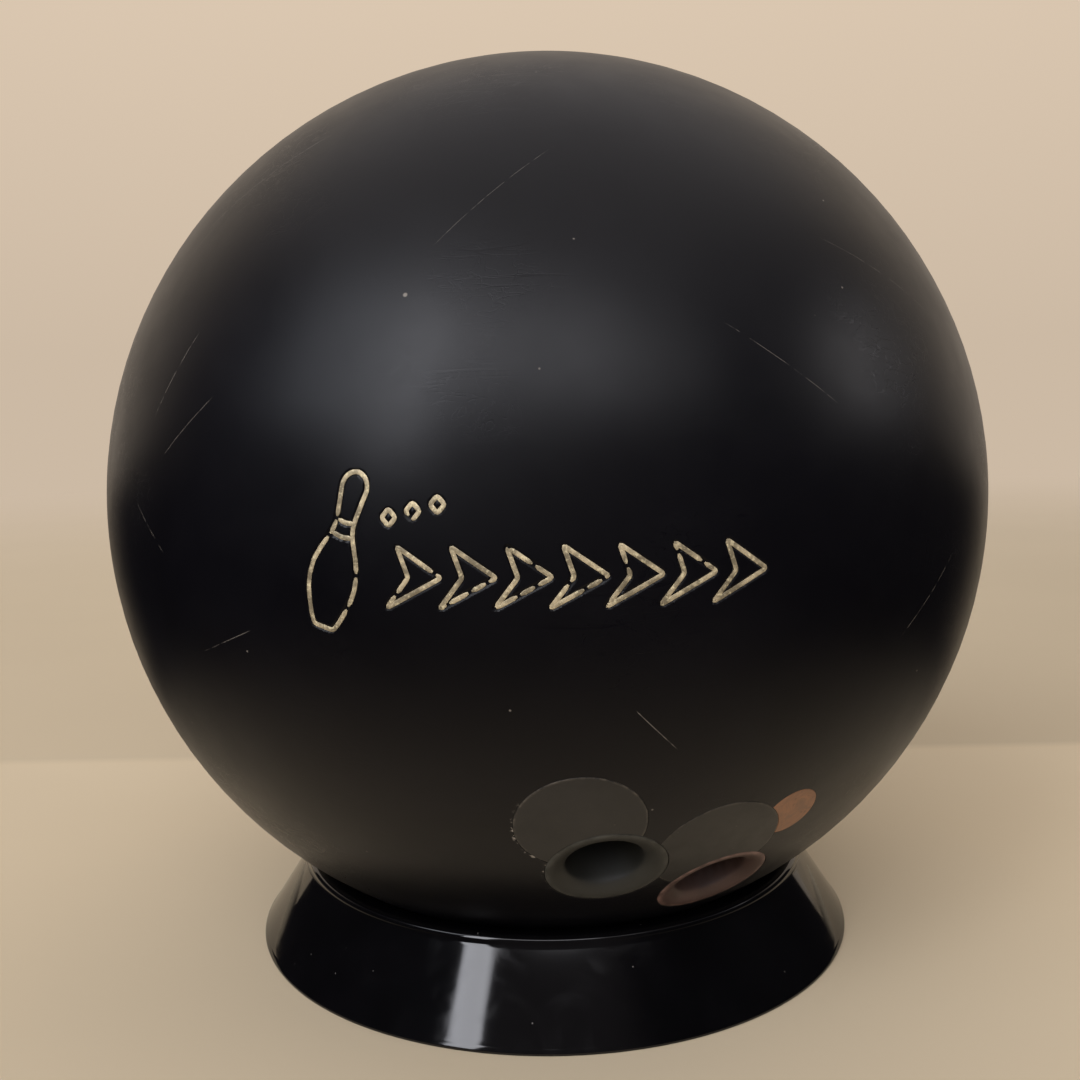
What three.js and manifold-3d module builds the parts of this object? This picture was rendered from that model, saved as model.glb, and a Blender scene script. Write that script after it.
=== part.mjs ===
// A drilled bowling ball resting in a ring stand. Millimetres, +Z up.
// The origin is on the shelf under the ball's centre, and -Y is the side with the emblem.

import * as THREE from 'three';
import { mergeVertices } from 'three/addons/utils/BufferGeometryUtils.js';
import Module from 'manifold-3d';

const wasm = await Module();
wasm.setup();

// ---- Driving dimensions ----

const BALL_DIAMETER = 217;
const COVER_THICKNESS = 20;
const BOND_GAP = 0.3; // left between pieces that are cast or glued together

// The grip: where the middle of the bridge between the finger holes lies on the ball, in degrees
// from the -Y side and from level, and how far the row of the two finger holes leans.
const GRIP_AZIMUTH = 16.05;
const GRIP_ELEVATION = -42.17;
const GRIP_LEAN = -25.7;

// Places across and along the grip are measured over the ball's surface from the bridge's middle.
const FINGER_HOLE_DIAMETER = 24.6; // 31/32 inch
const FINGER_HOLE_DEPTH = 45;
const BRIDGE = 4.6; // wall between the two finger holes at the surface
const FINGER_PITCH = 12.7; // how far each finger hole's axis passes outside the ball's centre

const INSERT_LENGTH = 30;
const INSERT_WALL = 4.1;
const INSERT_DISH_EDGE = 0.9; // width of the rim left round the dish at the insert's mouth
const INSERT_DISH_DEPTH = 1.8;

const THUMB_ACROSS = 12;
const THUMB_ALONG = -124;
const THUMB_SLUG_DIAMETER = 31.75;
const THUMB_SLUG_LENGTH = 50;
const THUMB_SLUG_WALL = 3.875;
const THUMB_SLUG_FLOOR = 5; // slug left under the thumb hole
const THUMB_BEVEL = 1.6;

// The first grip, which was filled with plugs before the present one was drilled.
const OLD_GRIP_ACROSS = -12.2;
const OLD_GRIP_ALONG = 11.6;
const OLD_GRIP_TURN = 7.5; // degrees from the present grip
const OLD_BRIDGE = 5.2;
const OLD_LEFT_DIAMETER = 25.4;
const OLD_RIGHT_DIAMETER = 27;
const OLD_FINGER_DEPTH = 38;
const OLD_THUMB_DIAMETER = 34.9;
const OLD_THUMB_DEPTH = 45;

// The weight block's own axis runs through the ball's centre and the locating pin.
const PIN_ACROSS = 15.3;
const PIN_ALONG = 25.1;
const PIN_DIAMETER = 12.7;
const BULB_RADIUS = 47;
const BULB_OFFSET = 8; // bulb's centre below the ball's centre, along the axis
const NECK_RADIUS = 26;
const NECK_ROUNDING = 7;
const NECK_TOP = 57; // above the ball's centre, along the axis

const FLIP_BLOCK_LENGTH = 64;
const FLIP_BLOCK_WIDTH = 28;
const FLIP_BLOCK_DEPTH = 16; // from the bulb's lowest point
const FLIP_BLOCK_CORNER = 9;

const RING_HEIGHT = 20;
const RING_RIM_DIAMETER = 130.6;
const RING_FLARE = 11.8; // how far the foot stands outside the rim
const RING_FOOT_WIDTH = 5.6; // width of the flat that the ring stands on
const RING_LIP_HEIGHT = 1.4;
const RING_LIP_STEP = 0.7;
const RIM_ROUNDING = 1.6;
const SEAT_INSET = 6.1; // rim to the circle on which the ball rests
const SEAT_WIDTH = 2.6;
const SEAT_DROP = 0.75; // rim's top to the middle of the seat
const SEAT_SKIRT = 2.5; // height of the upright wall under the seat

const BALL_SEGMENTS = 48;
const CORE_SEGMENTS = 32;
const HOLE_SEGMENTS = 24;
const RING_SEGMENTS = 64;
const OVERSHOOT = 6; // how far a drill starts outside the ball

// ---- Worked out from them ----

const ballRadius = BALL_DIAMETER / 2;
const coverInnerRadius = ballRadius - COVER_THICKNESS;
const centre = new THREE.Vector3(0, 0, 0);

const rimRadius = RING_RIM_DIAMETER / 2;
const baseRadius = rimRadius + RING_FLARE;
const seatRadius = rimRadius - SEAT_INSET;
const seatHeight = RING_HEIGHT - SEAT_DROP;
const ballHeight = seatHeight + Math.sqrt(ballRadius ** 2 - seatRadius ** 2);

const degrees = THREE.MathUtils.degToRad;
const azimuth = degrees(GRIP_AZIMUTH);
const elevation = degrees(GRIP_ELEVATION);
const lean = degrees(GRIP_LEAN);
const gripOut = new THREE.Vector3(
  Math.cos(elevation) * Math.sin(azimuth),
  -Math.cos(elevation) * Math.cos(azimuth),
  Math.sin(elevation),
);
const level = new THREE.Vector3(0, 0, 1).cross(gripOut).normalize();
const rising = gripOut.clone().cross(level);
const gripAcross = level.clone().multiplyScalar(Math.cos(lean)).addScaledVector(rising, Math.sin(lean));
const gripAlong = gripOut.clone().cross(gripAcross);

/** The direction from the ball's centre to the place this far over the surface from the bridge. */
function directionAt(across, along) {
  const distance = Math.hypot(across, along);
  const angle = distance / ballRadius;
  const way = gripAcross.clone().multiplyScalar(across).addScaledVector(gripAlong, along);
  return gripOut.clone().multiplyScalar(Math.cos(angle))
    .addScaledVector(way.divideScalar(distance), Math.sin(angle));
}

/** A drilled hole's mouth on the ball and the way that its drill goes, past the given aim. */
function holeLine(across, along, aim = centre) {
  const mouth = directionAt(across, along).multiplyScalar(ballRadius);
  return { mouth, inward: aim.clone().sub(mouth).normalize() };
}

const outboard = gripAcross.clone().multiplyScalar(FINGER_PITCH);
const inboard = outboard.clone().negate();

const fingerSpacing = FINGER_HOLE_DIAMETER + BRIDGE;
const leftFinger = holeLine(-fingerSpacing / 2, 0, inboard);
const rightFinger = holeLine(fingerSpacing / 2, 0, outboard);
const thumb = holeLine(THUMB_ACROSS, THUMB_ALONG);

/** A place on the first grip, given as it would be on the present one. */
function onOldGrip(across, along) {
  const turn = degrees(OLD_GRIP_TURN);
  return [
    OLD_GRIP_ACROSS + across * Math.cos(turn) - along * Math.sin(turn),
    OLD_GRIP_ALONG + across * Math.sin(turn) + along * Math.cos(turn),
  ];
}

const oldSpacing = (OLD_LEFT_DIAMETER + OLD_RIGHT_DIAMETER) / 2 + OLD_BRIDGE;
const oldLeftFinger = holeLine(...onOldGrip(-oldSpacing / 2, 0), inboard);
const oldRightFinger = holeLine(...onOldGrip(oldSpacing / 2, 0), outboard);
const oldThumb = holeLine(...onOldGrip(THUMB_ACROSS, THUMB_ALONG));

const pinOut = directionAt(PIN_ACROSS, PIN_ALONG);

// ---- Solids ----

/** A closed geometry as a manifold, with its shared corners merged and its flat triangles dropped. */
function solid(geometry) {
  const bare = geometry.clone();
  bare.deleteAttribute('normal');
  bare.deleteAttribute('uv');
  const merged = mergeVertices(bare, 1e-4);
  const corners = merged.index.array;
  const kept = [];
  for (let i = 0; i < corners.length; i += 3) {
    const [a, b, c] = corners.slice(i, i + 3);
    if (a !== b && b !== c && c !== a) kept.push(a, b, c);
  }
  return new wasm.Manifold(new wasm.Mesh({
    numProp: 3,
    vertProperties: new Float32Array(merged.attributes.position.array),
    triVerts: new Uint32Array(kept),
  }));
}

/** A manifold as a geometry, flat shaded. */
function geometryOf(manifold) {
  const mesh = manifold.getMesh();
  const geometry = new THREE.BufferGeometry();
  geometry.setAttribute('position', new THREE.BufferAttribute(mesh.vertProperties, 3));
  geometry.setIndex(new THREE.BufferAttribute(mesh.triVerts, 1));
  return geometry;
}

function cut(body, tools) {
  return tools.reduce((rest, tool) => rest.subtract(tool), body);
}

/** A sphere about the ball's centre, with its poles at the top and the bottom. */
function sphere(radius, segments) {
  return solid(new THREE.SphereGeometry(radius, segments, segments / 2).rotateX(Math.PI / 2));
}

/** A round bar or taper along a line, from one distance to another past the hole's mouth. */
function bar(line, from, to, startRadius, endRadius = startRadius, segments = HOLE_SEGMENTS) {
  const geometry = new THREE.CylinderGeometry(endRadius, startRadius, to - from, segments);
  geometry.translate(0, (from + to) / 2, 0);
  geometry.applyQuaternion(new THREE.Quaternion().setFromUnitVectors(new THREE.Vector3(0, 1, 0), line.inward));
  return solid(geometry.translate(...line.mouth));
}

/** The drill that makes a hole of this diameter and depth. */
function drill(line, diameter, depth) {
  return bar(line, -OVERSHOOT, depth, diameter / 2);
}

/** A cone that opens a hole's mouth to the given radius over the given depth. */
function mouthCone(line, boreRadius, mouthRadius, depth) {
  const slope = (mouthRadius - boreRadius) / depth;
  return bar(line, -OVERSHOOT, depth, mouthRadius + slope * OVERSHOOT, boreRadius);
}

const ballBody = sphere(ballRadius, BALL_SEGMENTS);

const fingerDrills = [leftFinger, rightFinger].map(
  (line) => drill(line, FINGER_HOLE_DIAMETER, FINGER_HOLE_DEPTH),
);
const thumbDrill = drill(thumb, THUMB_SLUG_DIAMETER + 2 * BOND_GAP, THUMB_SLUG_LENGTH + BOND_GAP);
const gripDrills = [...fingerDrills, thumbDrill];

const oldHoles = [
  { name: 'old_finger_plug_left', line: oldLeftFinger, diameter: OLD_LEFT_DIAMETER, depth: OLD_FINGER_DEPTH },
  { name: 'old_finger_plug_right', line: oldRightFinger, diameter: OLD_RIGHT_DIAMETER, depth: OLD_FINGER_DEPTH },
  { name: 'old_thumb_plug', line: oldThumb, diameter: OLD_THUMB_DIAMETER, depth: OLD_THUMB_DEPTH },
];
const oldDrills = oldHoles.map(
  ({ line, diameter, depth }) => drill(line, diameter + 2 * BOND_GAP, depth + BOND_GAP),
);
const allDrills = [...oldDrills, ...gripDrills];

const pinLine = { mouth: pinOut.clone().multiplyScalar(ballRadius), inward: pinOut.clone().negate() };
const pinLength = ballRadius - NECK_TOP - BOND_GAP;

// ---- The weight block, about its own upright axis, then turned to the pin ----

const coreTurn = new THREE.Quaternion().setFromUnitVectors(new THREE.Vector3(0, 0, 1), pinOut);

/** Points of an arc from one angle to another, in degrees from the radial direction. */
function arc(r, z, radius, from, to, steps) {
  return Array.from({ length: steps + 1 }, (_, i) => {
    const angle = degrees(from + (to - from) * i / steps);
    return new THREE.Vector2(r + radius * Math.cos(angle), z + radius * Math.sin(angle));
  });
}

/** The bulb and neck as one lathe shape, grown all over by the given amount. */
function weightBlockShape(grown) {
  const bulb = BULB_RADIUS + grown;
  const neck = NECK_RADIUS + grown;
  const rounding = NECK_ROUNDING + grown;
  const shoulder = THREE.MathUtils.radToDeg(Math.acos(neck / bulb));
  const profile = [
    ...arc(0, -BULB_OFFSET, bulb, -90, shoulder, 12),
    ...arc(neck - rounding, NECK_TOP + grown - rounding, rounding, 0, 90, 4),
    new THREE.Vector2(0, NECK_TOP + grown),
  ];
  profile[0].x = 0;
  const lathe = new THREE.LatheGeometry(profile, CORE_SEGMENTS).rotateX(Math.PI / 2);
  return solid(lathe.applyQuaternion(coreTurn));
}

/** The bar across the bulb's base, grown sideways and upwards by the given amount. */
function flipBlockShape(grown) {
  const corner = FLIP_BLOCK_CORNER + grown;
  const x = FLIP_BLOCK_LENGTH / 2 + grown;
  const y = FLIP_BLOCK_WIDTH / 2 + grown;
  const outline = new THREE.Shape();
  outline.absarc(x - corner, y - corner, corner, 0, Math.PI / 2);
  outline.absarc(corner - x, y - corner, corner, Math.PI / 2, Math.PI);
  outline.absarc(corner - x, corner - y, corner, Math.PI, 1.5 * Math.PI);
  outline.absarc(x - corner, corner - y, corner, 1.5 * Math.PI, 2 * Math.PI);
  outline.closePath();
  const bulbBase = -BULB_OFFSET - BULB_RADIUS;
  const geometry = new THREE.ExtrudeGeometry(outline, {
    depth: FLIP_BLOCK_DEPTH + grown + OVERSHOOT,
    bevelEnabled: false,
    curveSegments: 5,
  });
  return solid(geometry.translate(0, 0, bulbBase - OVERSHOOT).applyQuaternion(coreTurn));
}

// ---- The ring stand ----

/** The ring's section as a closed lathe profile, from the foot's inner edge round the outside. */
function ringShape() {
  const wallTop = new THREE.Vector2(rimRadius, RING_HEIGHT - RIM_ROUNDING);
  const wallFoot = new THREE.Vector2(baseRadius - RING_LIP_STEP, RING_LIP_HEIGHT);

  // the seat touches the ball's own round, a bond gap clear of it
  const seatAngle = Math.asin(seatRadius / ballRadius);
  const slope = new THREE.Vector2(Math.cos(seatAngle), Math.sin(seatAngle));
  const away = new THREE.Vector2(Math.sin(seatAngle), -Math.cos(seatAngle));
  const seat = new THREE.Vector2(seatRadius, seatHeight).addScaledVector(away, BOND_GAP);
  const seatOuter = seat.clone().addScaledVector(slope, SEAT_WIDTH / 2);
  const seatInner = seat.clone().addScaledVector(slope, -SEAT_WIDTH / 2);

  const profile = [
    new THREE.Vector2(baseRadius - RING_FOOT_WIDTH, 0),
    new THREE.Vector2(baseRadius, 0),
    new THREE.Vector2(baseRadius, RING_LIP_HEIGHT - RING_LIP_STEP),
    wallFoot,
    wallTop,
    ...arc(rimRadius - RIM_ROUNDING, RING_HEIGHT - RIM_ROUNDING, RIM_ROUNDING, 0, 90, 3).slice(1),
    seatOuter,
    seatInner,
    new THREE.Vector2(seatInner.x, seatInner.y - SEAT_SKIRT),
    new THREE.Vector2(baseRadius - RING_FOOT_WIDTH, 0),
  ];
  return new THREE.LatheGeometry(profile, RING_SEGMENTS).rotateX(Math.PI / 2);
}

// ---- The model ----

const group = new THREE.Group();
const ball = new THREE.Group();
ball.position.z = ballHeight;
group.add(ball);

function addTo(parent, name, geometry, color, roughness, metalness = 0) {
  const mesh = new THREE.Mesh(geometry, new THREE.MeshStandardMaterial({ color, roughness, metalness }));
  mesh.name = name;
  parent.add(mesh);
}

const pinDrill = bar(pinLine, -OVERSHOOT, pinLength + BOND_GAP, PIN_DIAMETER / 2 + BOND_GAP);
const coverstock = cut(
  ballBody.subtract(sphere(coverInnerRadius, CORE_SEGMENTS)),
  [pinDrill, ...allDrills],
);
addTo(ball, 'coverstock', geometryOf(coverstock), 0x0c0c12, 0.42);

const outerCore = cut(
  sphere(coverInnerRadius - BOND_GAP, CORE_SEGMENTS).subtract(weightBlockShape(BOND_GAP)),
  [pinDrill, ...allDrills],
);
addTo(ball, 'outer_core', geometryOf(outerCore), 0x8a8578, 0.8);

const weightBlock = cut(weightBlockShape(0), [flipBlockShape(BOND_GAP), ...allDrills]);
addTo(ball, 'weight_block', geometryOf(weightBlock), 0x9c3b2a, 0.7);

const flipBlock = cut(flipBlockShape(0).intersect(weightBlockShape(0)), allDrills);
addTo(ball, 'flip_block', geometryOf(flipBlock), 0x3f4a63, 0.7);

const pin = cut(
  bar(pinLine, -OVERSHOOT, pinLength, PIN_DIAMETER / 2).intersect(ballBody),
  allDrills,
);
addTo(ball, 'core_pin', geometryOf(pin), 0xb98362, 0.45);

for (const { name, line, diameter, depth } of oldHoles) {
  const plug = cut(drill(line, diameter, depth).intersect(ballBody), gripDrills);
  addTo(ball, name, geometryOf(plug), 0x1b1c1d, 0.45);
}

const inserts = [
  { name: 'finger_insert_left', line: leftFinger, color: 0x2b2d2a },
  { name: 'finger_insert_right', line: rightFinger, color: 0x4a332e },
];
const insertRadius = FINGER_HOLE_DIAMETER / 2 - BOND_GAP;
const insertBore = insertRadius - INSERT_WALL;
for (const { name, line, color } of inserts) {
  const tube = bar(line, -OVERSHOOT, INSERT_LENGTH, insertRadius);
  const insert = cut(tube.intersect(ballBody), [
    drill(line, 2 * insertBore, FINGER_HOLE_DEPTH),
    mouthCone(line, insertBore, insertRadius - INSERT_DISH_EDGE, INSERT_DISH_DEPTH),
  ]);
  addTo(ball, name, geometryOf(insert), color, 0.6);
}

const thumbBore = THUMB_SLUG_DIAMETER / 2 - THUMB_SLUG_WALL;
const slug = cut(drill(thumb, THUMB_SLUG_DIAMETER, THUMB_SLUG_LENGTH).intersect(ballBody), [
  drill(thumb, 2 * thumbBore, THUMB_SLUG_LENGTH - THUMB_SLUG_FLOOR),
  mouthCone(thumb, thumbBore, thumbBore + THUMB_BEVEL, THUMB_BEVEL),
]);
addTo(ball, 'thumb_slug', geometryOf(slug), 0x141416, 0.5);

addTo(group, 'ring_stand', ringShape(), 0x050506, 0.12);

export default group;
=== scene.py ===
"""The looks of a drilled bowling ball that rests in a glossy ring stand.

Metres, +Z up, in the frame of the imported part: the origin is on the shelf under the ball's
centre, and -Y is the side with the inlaid mark. The pieces are surfaces worked out on grids of
two parameters. The sizes and colours that a user would change are in the property groups.
"""

import math

import bpy
import numpy as np
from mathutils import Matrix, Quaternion, Vector


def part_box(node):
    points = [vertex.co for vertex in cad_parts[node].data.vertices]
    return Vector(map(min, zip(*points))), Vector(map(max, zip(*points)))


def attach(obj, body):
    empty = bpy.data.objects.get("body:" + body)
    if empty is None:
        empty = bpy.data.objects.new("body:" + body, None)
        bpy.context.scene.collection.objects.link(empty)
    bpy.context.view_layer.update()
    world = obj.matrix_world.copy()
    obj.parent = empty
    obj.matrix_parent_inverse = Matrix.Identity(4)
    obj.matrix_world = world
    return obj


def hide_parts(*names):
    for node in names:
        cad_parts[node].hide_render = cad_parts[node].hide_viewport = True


bl_info = {
    "name": "Bowling ball in a ring stand",
    "version": (1, 0, 0),
    "blender": (4, 5, 0),
    "location": "3D View > Sidebar > Bowling ball",
    "description": "Builds the ball's cover, plugs, inserts, inlay and ring stand on the packed frame",
    "category": "Object",
}

MM = 0.001
BOX_TOLERANCE = 1.0 * MM  # how far a piece may be off the box of the node that it stands for
DRILL_START = 6 * MM  # how far outside the ball a drill begins
ROUND_TOLERANCE = 0.045 * MM  # how near the ball's round a corner is to take the round's normal
FEWEST_FACES = 20  # a drilled piece that has fewer faces has been lost

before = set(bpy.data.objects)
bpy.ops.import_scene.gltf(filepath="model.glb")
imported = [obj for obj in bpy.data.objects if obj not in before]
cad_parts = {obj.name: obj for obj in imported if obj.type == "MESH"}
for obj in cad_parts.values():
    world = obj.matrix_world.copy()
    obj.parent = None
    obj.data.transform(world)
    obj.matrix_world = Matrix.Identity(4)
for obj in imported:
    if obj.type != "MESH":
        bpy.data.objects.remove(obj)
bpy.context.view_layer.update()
COVER_LOW, COVER_HIGH = (np.array(corner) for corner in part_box("coverstock"))
RING_LOW, RING_HIGH = (np.array(corner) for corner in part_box("ring_stand"))


# ---- Sizes and colours -----------------------------------------------------------------------


def length(name, description, default):
    """A length property, given in millimetres and kept in metres."""
    return bpy.props.FloatProperty(
        name=name, description=description, default=default * MM, unit="LENGTH", precision=5
    )


def turn(name, description, default):
    """An angle property, given in degrees and kept in radians."""
    return bpy.props.FloatProperty(
        name=name, description=description, default=math.radians(default), subtype="ANGLE"
    )


def colour(name, description, default):
    """A colour property, as linear red, green and blue."""
    return bpy.props.FloatVectorProperty(
        name=name, description=description, default=default, subtype="COLOR", size=3, min=0, max=1
    )


def share(name, description, default):
    """A plain number from 0 to 1."""
    return bpy.props.FloatProperty(
        name=name, description=description, default=default, min=0, max=1
    )


class BallSizes(bpy.types.PropertyGroup):
    """The ball itself, its seams and the mark that is inlaid in it."""

    diameter: length("Diameter", "Across the ball", (COVER_HIGH - COVER_LOW)[0] / MM)
    cover_thickness: length("Cover thickness", "Wall of the outer shell", 20)
    seam: length("Seam", "Gap between glued pieces", 0.02)
    edge: length("Edge break", "Width of the broken edge round each hole", 0.1)
    groove_depth: length("Groove depth", "How deep the mark is engraved", 0.3)
    stroke_width: length("Stroke width", "Width of the inlay in the grooves", 0.84)
    wear: share("Inlay wear", "How much of the inlay has come out", 0.05)


class GripSizes(bpy.types.PropertyGroup):
    """Where the holes are drilled, measured over the surface from the middle of the bridge."""

    azimuth: turn("Azimuth", "Bridge's middle, from the side with the mark", 16.05)
    elevation: turn("Elevation", "Bridge's middle, from level", -42.17)
    lean: turn("Lean", "Turn of the row of finger holes from level", -25.7)
    finger_hole: length("Finger hole", "Diameter of the finger holes", 24.6)
    finger_depth: length("Finger hole depth", "Depth of the finger holes", 45)
    bridge: length("Bridge", "Wall between the finger holes", 4.6)
    pitch: length("Pitch", "How far the finger holes pass beside the ball's centre", 12.7)
    insert_length: length("Insert length", "Depth of the finger inserts", 30)
    insert_bore: length("Insert bore", "Bore of the finger inserts", 15.8)
    insert_dish: length("Insert dish", "Width of the dish in each insert's mouth", 22.2)
    dish_depth: length("Dish depth", "Depth of that dish", 1.8)
    rib_height: length("Rib height", "Height of the ribs in the ribbed insert", 0.3)
    ribs: bpy.props.IntProperty(name="Ribs", description="Ribs round the bore", default=22)
    thumb_across: length("Thumb across", "Thumb hole, across the grip", 12)
    thumb_along: length("Thumb along", "Thumb hole, along the grip", -124)
    slug: length("Thumb slug", "Diameter of the thumb slug", 31.75)
    slug_length: length("Slug length", "Length of the thumb slug", 50)
    thumb_hole: length("Thumb hole", "Diameter of the thumb hole", 24)
    thumb_depth: length("Thumb depth", "Depth of the thumb hole", 45)
    thumb_bevel: length("Thumb bevel", "Rounding of the thumb hole's edge", 1.6)


class FilledSizes(bpy.types.PropertyGroup):
    """The first grip, now filled, and the locating pin of the weight block."""

    across: length("Across", "Shift of the first grip across the present one", -12.2)
    along: length("Along", "Shift of the first grip along the present one", 11.6)
    turned: turn("Turned", "Turn of the first grip from the present one", 7.5)
    bridge: length("Bridge", "Wall between the filled finger holes", 5.2)
    left: length("Left plug", "Diameter of the left finger plug", 25.4)
    right: length("Right plug", "Diameter of the right finger plug", 27)
    finger_depth: length("Finger plug depth", "Depth of the finger plugs", 38)
    thumb: length("Thumb plug", "Diameter of the thumb plug", 34.9)
    thumb_depth: length("Thumb plug depth", "Depth of the thumb plug", 45)
    pin_across: length("Pin across", "Locating pin, across the grip", 15.3)
    pin_along: length("Pin along", "Locating pin, along the grip", 25.1)
    pin: length("Pin", "Diameter of the locating pin", 12.7)
    pin_length: length("Pin length", "Length of the locating pin", 51.2)


class RingSizes(bpy.types.PropertyGroup):
    """The ring stand's section. Its height and foot come from the frame."""

    height: length("Height", "Shelf to rim", RING_HIGH[2] / MM)
    base: length("Base", "Diameter of the foot", (RING_HIGH - RING_LOW)[0] / MM)
    rim: length("Rim", "Diameter of the rim", 130.6)
    foot: length("Foot", "Width of the flat that the ring stands on", 5.6)
    lip_height: length("Lip height", "Height of the lip round the foot", 1.4)
    lip_step: length("Lip step", "How far the lip stands out", 0.7)
    rounding: length("Rounding", "Radius of the rim's outer edge", 1.6)
    seat: length("Seat", "Diameter of the circle that the ball rests on", 118.4)
    seat_width: length("Seat width", "Width of the seat", 2.6)
    seat_drop: length("Seat drop", "Rim's top to the middle of the seat", 0.75)
    seat_gap: length("Seat gap", "Left between the seat and the ball", 0.3)
    skirt: length("Skirt", "Height of the upright wall under the seat", 2.5)


class Finishes(bpy.types.PropertyGroup):
    """Colours and gloss of the pieces."""

    cover: colour("Cover", "Outer shell", (0.0010, 0.0009, 0.0021))
    cover_light: colour("Cover, light", "Paler clouds in the shell", (0.0026, 0.0024, 0.0040))
    cover_roughness: share("Cover roughness", "Satin of the outer shell", 0.36)
    scuff: colour("Scuff", "Chips, scratches and dust on the shell", (0.30, 0.27, 0.23))
    plug: colour("Plugs", "Fillers of the first holes", (0.0120, 0.0112, 0.0102))
    plug_edge: colour("Plug edge", "Glue line round each plug", (0.11, 0.095, 0.075))
    pin: colour("Pin", "Locating pin", (0.24, 0.115, 0.058))
    inlay: colour("Inlay", "Paint in the engraved mark", (0.62, 0.52, 0.33))
    grey_insert: colour("Grey insert", "Left finger insert", (0.0190, 0.0190, 0.0155))
    brown_insert: colour("Brown insert", "Right finger insert", (0.060, 0.033, 0.027))
    slug: colour("Slug", "Thumb slug", (0.010, 0.010, 0.011))
    filler: colour("Filler", "Light filler under the shell", (0.30, 0.28, 0.24))
    weight: colour("Weight block", "Dense weight block", (0.33, 0.04, 0.025))
    flip: colour("Flip block", "Bar across the weight block", (0.05, 0.07, 0.13))
    ring: colour("Ring", "Ring stand", (0.0016, 0.0015, 0.0018))
    ring_roughness: share("Ring roughness", "Gloss of the ring stand", 0.075)


class StageSettings(bpy.types.PropertyGroup):
    """The floor, the backdrop's colour and the camera."""

    floor: colour("Floor", "Pale floor", (0.66, 0.545, 0.375))
    backdrop: colour("Backdrop", "Seen behind the ball", (0.605, 0.490, 0.375))
    strength: bpy.props.FloatProperty(
        name="Light", description="Strength of all the soft light", default=1.0, min=0
    )
    lens: bpy.props.FloatProperty(
        name="Lens", description="Focal length in millimetres", default=37.33, min=1
    )


SETTINGS = {
    "ball_sizes": BallSizes,
    "grip_sizes": GripSizes,
    "filled_sizes": FilledSizes,
    "ring_sizes": RingSizes,
    "finishes": Finishes,
    "stage_settings": StageSettings,
}


def settings():
    """The six property groups of the scene, in the order of SETTINGS."""
    return [getattr(bpy.context.scene, name) for name in SETTINGS]


# ---- Places on the ball ----------------------------------------------------------------------


def unit(vectors):
    """Vectors made one long."""
    vectors = np.asarray(vectors, float)
    return vectors / np.linalg.norm(vectors, axis=-1, keepdims=True)


def compass(azimuth, elevation):
    """Directions at angles from -Y round towards +X and up from level, both in radians."""
    level = np.cos(elevation)
    return np.stack(
        [level * np.sin(azimuth), -level * np.cos(azimuth), np.sin(elevation)], axis=-1
    )


class Ball:
    """The ball's centre and radius, and the directions of its grip."""

    def __init__(self):
        ball, grip = bpy.context.scene.ball_sizes, bpy.context.scene.grip_sizes
        self.centre = (COVER_LOW + COVER_HIGH) / 2
        self.radius = ball.diameter / 2
        self.out = compass(grip.azimuth, grip.elevation)
        level = unit(np.cross([0, 0, 1], self.out))
        rising = np.cross(self.out, level)
        self.across = level * math.cos(grip.lean) + rising * math.sin(grip.lean)
        self.along = np.cross(self.out, self.across)

    def direction(self, across, along):
        """The way from the centre to a place this far over the surface from the bridge."""
        distance = math.hypot(across, along)
        angle = distance / self.radius
        way = (self.across * across + self.along * along) / distance
        return self.out * math.cos(angle) + way * math.sin(angle)

    def line(self, across, along, aside=0.0):
        """The axis of a hole at that place, passing the centre by aside across the grip."""
        mouth = self.direction(across, along) * self.radius
        return Line(self.centre + mouth, self.across * aside - mouth)


class Line:
    """A hole's axis: the middle of its mouth, the way inward and two directions square to it."""

    def __init__(self, mouth, inward):
        self.mouth = mouth
        self.inward = unit(inward)
        self.side = unit(np.cross(self.inward, [0, 0, 1]))
        self.up = np.cross(self.side, self.inward)


def holes(ball):
    """The hole lines by name: the present grip, the first grip and the locating pin."""
    _, grip, filled, *_ = settings()
    half = (grip.finger_hole + grip.bridge) / 2
    lines = {
        "finger_left": ball.line(-half, 0, -grip.pitch),
        "finger_right": ball.line(half, 0, grip.pitch),
        "thumb": ball.line(grip.thumb_across, grip.thumb_along),
    }

    def on_first_grip(across, along):
        cosine, sine = math.cos(filled.turned), math.sin(filled.turned)
        return (
            filled.across + across * cosine - along * sine,
            filled.along + across * sine + along * cosine,
        )

    half = (filled.left + filled.right) / 4 + filled.bridge / 2
    lines["old_left"] = ball.line(*on_first_grip(-half, 0), -grip.pitch)
    lines["old_right"] = ball.line(*on_first_grip(half, 0), grip.pitch)
    lines["old_thumb"] = ball.line(*on_first_grip(grip.thumb_across, grip.thumb_along))
    lines["pin"] = ball.line(filled.pin_across, filled.pin_along)
    return lines


# ---- Meshes ----------------------------------------------------------------------------------


def grid_faces(rows, columns, start=0, wrap_rows=False, wrap_columns=True):
    """Four-cornered faces between neighbours of a grid of vertices that is numbered by rows."""
    index = np.arange(rows * columns).reshape(rows, columns) + start
    if wrap_rows:
        index = np.vstack([index, index[:1]])
    if wrap_columns:
        index = np.hstack([index, index[:, :1]])
    return np.stack(
        [index[:-1, :-1], index[:-1, 1:], index[1:, 1:], index[1:, :-1]], axis=-1
    ).reshape(-1, 4)


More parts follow.
